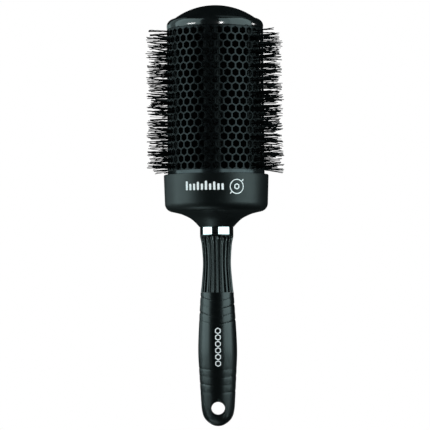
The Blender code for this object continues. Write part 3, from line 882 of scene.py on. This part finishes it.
def collar_profile():
    """The collar's outer side from its lip down to its neck."""
    lip = arc(COLLAR_RADIUS - COLLAR_LIP_ARC, COLLAR_TOP - COLLAR_LIP_ARC, COLLAR_LIP_ARC, 90.0, 0.0, 6)
    wall = [(COLLAR_RADIUS - COLLAR_TAPER * i, COLLAR_TOP - COLLAR_STRETCH * i) for i in (1, 2)]
    shoulder_r = COLLAR_RADIUS - COLLAR_SHOULDER_INSET - COLLAR_SHOULDER_ARC
    shoulder = arc(shoulder_r, COLLAR_SHOULDER_HEIGHT, COLLAR_SHOULDER_ARC, 0.0, COLLAR_SHOULDER_END, 20)
    foot = (shoulder[-1][0] / MM, shoulder[-1][1] / MM)
    return lip + wall + shoulder + smooth_line((foot,) + COLLAR_FLARE, 8)[1:]


def make_collar():
    bore = SPIGOT_RADIUS + FIT_GAP
    inner_wall = BARREL_RADIUS + FIT_GAP
    seat_z = BARREL_BOTTOM - FIT_GAP
    boss_top = top_of("handle_core")
    inside = [
        (bore, COLLAR_BOTTOM),
        (bore, boss_top),
        (COLLAR_BOSS_RADIUS, boss_top),
        (COLLAR_BOSS_RADIUS, COLLAR_FLOOR[0][1]),
        *COLLAR_FLOOR,
        (COLLAR_SEAT_RADIUS, COLLAR_SEAT_FOOT),
        (COLLAR_SEAT_RADIUS, seat_z),
        (inner_wall, seat_z),
        (inner_wall, COLLAR_TOP),
    ]
    mesh = lathe("collar_shell", collar_profile() + inside, COLLAR_STEPS)
    add_piece("bell_collar", mesh, COLLAR_COAT, ["collar"])


RING_EDGE = 0.35 * MM
RING_STEPS = 128


def make_ring():
    top = COLLAR_BOTTOM - SEAM
    inner = SPIGOT_RADIUS + FIT_GAP
    upper = arc(RING_RADIUS - RING_EDGE, top - RING_EDGE, RING_EDGE, 90.0, 0.0, 6)
    lower = arc(RING_RADIUS - RING_EDGE, RING_BOTTOM + RING_EDGE, RING_EDGE, 0.0, -90.0, 6)
    mesh = lathe("ring_band", upper + lower + [(inner, RING_BOTTOM), (inner, top)], RING_STEPS)
    add_piece("chrome_ferrule", mesh, CHROME, ["chrome_ring"])


# ---------------------------------------------------------------- fluted neck

# Radii and heights in millimetres
NECK_OUTLINE = ((10.35, 96.5), (9.5, 109.0), (10.2, 121.0), (11.2, 126.3))
NECK_BOTTOM_RADIUS = 11.1
NECK_TOP_RADIUS = 11.2
NECK_RIBS = 22
STEPS_PER_RIB = 16
RIB_HEIGHT = 0.9 * MM
RIB_NARROWNESS = 3
BORE_MARGIN = 1.0 * MM  # a wall this close to its bore has no ribs or ripples
FLUTES_TOP = 127.4 * MM
FLUTES_FADE = 1.6 * MM


def fluted(angle, radius, height):
    """Narrow rounded ribs with flat valleys between them, one rib at the front, fading out at the top."""
    if radius < SPIGOT_RADIUS + BORE_MARGIN:
        return radius
    rib = (0.5 + 0.5 * math.cos(NECK_RIBS * (angle - FRONT))) ** RIB_NARROWNESS
    fade = min(1.0, max(0.0, (FLUTES_TOP - height) / FLUTES_FADE))
    return radius - RIB_HEIGHT * math.sqrt(fade) * (1.0 - rib)


def make_neck():
    bore = SPIGOT_RADIUS + FIT_GAP
    bottom = GRIP_TOP + SEAM
    top = RING_BOTTOM - SEAM
    ends = ((NECK_BOTTOM_RADIUS, bottom / MM), (NECK_TOP_RADIUS, top / MM))
    line = smooth_line((ends[0],) + NECK_OUTLINE + (ends[1],), 9)
    outline = line[::-1] + [(bore, bottom), (bore, top)]
    mesh = lathe("neck_shell", outline, NECK_RIBS * STEPS_PER_RIB, fluted)
    add_piece("fluted_neck", mesh, NECK_PLASTIC, ["neck_sleeve"])


# ---------------------------------------------------------------- grip

# Radius and height in millimetres
GRIP_OUTLINE = (
    (0.0, 0.0),
    (2.6, 0.38),
    (4.9, 1.45),
    (6.9, 2.9),
    (8.85, 5.0),
    (10.2, 7.8),
    (10.95, 11.5),
    (11.35, 16.0),
    (12.7, 40.0),
    (13.05, 52.0),
    (12.4, 68.0),
    (11.1, 89.4),
)
RIPPLE_PITCH = 5.15 * MM
RIPPLES_EACH_GROUP = 4
# Each group's foot, how far its grooves dip, and their depth
RIPPLE_GROUPS = ((20.3 * MM, 0.7 * MM, 0.13 * MM), (67.0 * MM, 1.6 * MM, 0.32 * MM))
PAD_BULGE = 0.05 * MM
GROOVE_WIDTH = 0.55 * MM
GROOVE_EVENNESS = 0.6  # a groove's depth at the front, as a share of its depth on its deep side
GRIP_STEPS = 176
GRIP_SPACING = 0.3 * MM
# The hang hole from a mouth to its waist: radius and distance from the grip's middle, in millimetres
HOLE_MOUTH = ((9.6, 13.0), (6.6, 11.3), (5.35, 10.1), (4.75, 9.0), (4.55, 7.6))
HOLE_STEPS = 96


def rippled(angle, radius, height):
    """Finger ripples: soft pads between narrow grooves, which dip at the front and back.

    Every other groove is deeper on one side of the brush, and the ones between on the other side.
    """
    if radius < CORE_RADIUS + BORE_MARGIN:
        return radius
    for start, dip, depth in RIPPLE_GROUPS:
        turns = (height + dip * math.cos(2.0 * (angle - FRONT)) - start) / RIPPLE_PITCH
        if 0.0 <= turns <= RIPPLES_EACH_GROUP:
            index = min(RIPPLES_EACH_GROUP - 1, int(turns))
            off = turns - index - 0.5
            pad = 0.5 + 0.5 * math.cos(2.0 * math.pi * off)
            groove = math.exp(-((off * RIPPLE_PITCH / GROOVE_WIDTH) ** 2))
            side = math.sin(angle - FRONT) * (1.0 if index % 2 == 0 else -1.0)
            share = GROOVE_EVENNESS + (1.0 - GROOVE_EVENNESS) * side
            return radius - PAD_BULGE * pad - depth * groove * share
    return radius


def make_grip():
    bore = CORE_RADIUS + FIT_GAP
    bore_bottom = CORE_BOTTOM - FIT_GAP
    line = evenly_spaced(smooth_line(GRIP_OUTLINE, 16), GRIP_SPACING)
    outline = [(0.0, bore_bottom), (bore, bore_bottom), (bore, GRIP_TOP)] + line[::-1]
    grip = loose_object("grip_blank", lathe("grip_blank", outline, GRIP_STEPS, rippled, closed=False))
    mouth = smooth_line(HOLE_MOUTH, 6)
    half = mouth[0][1]
    hole_line = [(0.0, half)] + mouth + [(r, -y) for r, y in reversed(mouth)] + [(0.0, -half)]
    hole = loose_object("hole_tool", lathe("hole_tool", hole_line, HOLE_STEPS, closed=False))
    hole.location.z = HANG_HOLE_HEIGHT
    hole.rotation_euler.x = math.pi / 2
    cut = grip.modifiers.new("hang_hole", "BOOLEAN")
    cut.operation = "DIFFERENCE"
    cut.object = hole
    mesh = evaluated(grip, "grip_shell")
    remove(grip, hole)
    add_piece("soft_grip", mesh, GRIP_COAT, ["grip_sleeve"])


# ---------------------------------------------------------------- printed marks

PRINT_LIFT = 0.06 * MM
PRINT_ROOT = -0.12 * MM


def bar_outline(u, v, width, tall, corner, turn=0.0):
    """A bar with rounded corners about (u, v), in millimetres, turned by an angle in degrees."""
    outline = []
    for quarter, (a, b) in enumerate(((1, 1), (-1, 1), (-1, -1), (1, -1))):
        centre = (a * (width / 2.0 - corner), b * (tall / 2.0 - corner))
        outline += arc(centre[0], centre[1], corner, 90.0 * quarter, 90.0 * (quarter + 1), 4)
    spin = Matrix.Rotation(math.radians(turn), 2)
    return [(u + p.x, v + p.y) for p in (spin @ Vector(point) for point in outline)]


def circle_outline(radius):
    return arc(0.0, 0.0, radius, 0.0, 360.0, 40)[:-1]


def add_mark(points, faces, place, outer, inner=None):
    """Raises one mark off its surface: a solid under an outline, with a hole if there is an inner one."""
    loops = [outer] + ([inner] if inner else [])
    rings = []
    for outline in loops:
        for lift in (PRINT_LIFT, PRINT_ROOT):
            rings.append([len(points) + i for i in range(len(outline))])
            points += [place(u, v, lift) for u, v in outline]
    high, low = rings[0], rings[1]
    count = len(high)
    for i in range(count):
        j = (i + 1) % count
        faces.append((high[i], low[i], low[j], high[j]))
        if inner:
            inner_high, inner_low = rings[2], rings[3]
            faces.append((inner_high[i], inner_high[j], inner_low[j], inner_low[i]))
            faces.append((high[i], high[j], inner_high[j], inner_high[i]))
            faces.append((low[i], inner_low[i], inner_low[j], low[j]))
    if not inner:
        faces.append(tuple(high))
        faces.append(tuple(reversed(low)))


def round_surface(line, azimuth, height):
    """Places flat (u, v, lift) on a turned surface, about an azimuth from the front and a height."""
    line = sorted((z, r) for r, z in line)
    heights = [z for z, r in line]
    radii = [r for z, r in line]

    def place(u, v, lift):
        z = height + v * MM
        radius = float(np.interp(z, heights, radii))
        angle = FRONT + math.radians(azimuth) + u * MM / radius
        return ((radius + lift) * math.cos(angle), (radius + lift) * math.sin(angle), z)

    return place


# The prints' azimuths are in degrees from the front, and the marks' own sizes in millimetres
COLLAR_MARKS = (6.0, 4.2, 4.2, 5.4, 4.2, 6.0, 4.2, 5.4, 4.2, 4.2)  # the bars' heights
MARK_WIDTH = 1.5
MARK_CORNER = 0.5
MARK_PITCH = 2.75
ROW_AZIMUTH = -13.5
ROW_HEIGHT = 158.9 * MM
COLLAR_SIDE_FOOT = 150.0 * MM
BADGE_AZIMUTH = 22.8
BADGE_HEIGHT = 159.0 * MM
BADGE_RING = (4.95, 4.35)  # outer and inner radius
BADGE_HEXAGON = (2.1, 1.25)
BADGE_TICK_PLACE = 3.95
BADGE_TICK = (2.0, 0.7, 0.2, 45.0)  # width, height, corner and turn in degrees
CHAIN_AZIMUTH = 1.0
CHAIN_HEIGHT = 53.0 * MM
CHAIN_LINKS = 6
CHAIN_PITCH = 4.35
CHAIN_HEXAGON = (2.15, 1.5)


def hexagon_outline(v, radius):
    """A six-sided outline about (0, v) with a corner at the top, and extra points to follow a curve."""
    corners = [Vector((math.sin(math.radians(a)), math.cos(math.radians(a)))) for a in range(0, 360, 60)]
    outline = []
    for corner, following in zip(corners, corners[1:] + corners[:1]):
        outline += [corner.lerp(following, step / 5.0) * radius for step in range(5)]
    return [(-p.x, v + p.y) for p in outline]


def make_collar_print():
    """A row of plain bars and a ringed badge on the collar's side."""
    side = [point for point in collar_profile() if point[1] > COLLAR_SIDE_FOOT]
    points = []
    faces = []
    row = round_surface(side, ROW_AZIMUTH, ROW_HEIGHT)
    shortest = min(COLLAR_MARKS)
    for i, tall in enumerate(COLLAR_MARKS):
        u = (i - (len(COLLAR_MARKS) - 1) / 2.0) * MARK_PITCH
        outline = bar_outline(u, (tall - shortest) / 2.0, MARK_WIDTH, tall, MARK_CORNER)
        add_mark(points, faces, row, outline)
    badge = round_surface(side, BADGE_AZIMUTH, BADGE_HEIGHT)
    add_mark(points, faces, badge, *(circle_outline(radius) for radius in BADGE_RING))
    add_mark(points, faces, badge, *(hexagon_outline(0.0, radius) for radius in BADGE_HEXAGON))
    for sign in (-1.0, 1.0):
        corner = sign * BADGE_TICK_PLACE
        add_mark(points, faces, badge, bar_outline(corner, corner, *BADGE_TICK))
    add_piece("collar_print", mesh_from("collar_print", points, faces), INK, [])


def make_grip_print():
    """A chain of hexagons down the grip's smooth middle."""
    points = []
    faces = []
    chain = round_surface(smooth_line(GRIP_OUTLINE, 16), CHAIN_AZIMUTH, CHAIN_HEIGHT)
    for i in range(CHAIN_LINKS):
        v = ((CHAIN_LINKS - 1) / 2.0 - i) * CHAIN_PITCH
        add_mark(points, faces, chain, *(hexagon_outline(v, radius) for radius in CHAIN_HEXAGON))
    add_piece("grip_print", mesh_from("grip_print", points, faces), INK, [])


# ---------------------------------------------------------------- the pieces that the frame supplies


def finish_inner_pieces():
    finishes = {
        "base_plug": INNER_PLASTIC,
        "top_plug": INNER_PLASTIC,
        "bristle_core": INNER_PLASTIC,
        "handle_core": INNER_PLASTIC,
        "tie_rod": STEEL,
        "rod_nut": STEEL,
        "rod_washer": STEEL,
        "threaded_insert": BRASS,
    }
    for node, finish in finishes.items():
        for material_slot in frame["nodes"][node].material_slots:
            material_slot.material = finish


make_barrel()
make_edge_band()
for count, strip_node in enumerate(STRIP_NODES, start=1):
    make_strip(count, strip_node)
make_cap()
make_collar()
make_ring()
make_neck()
make_grip()
make_collar_print()
make_grip_print()
finish_inner_pieces()
make_studio()
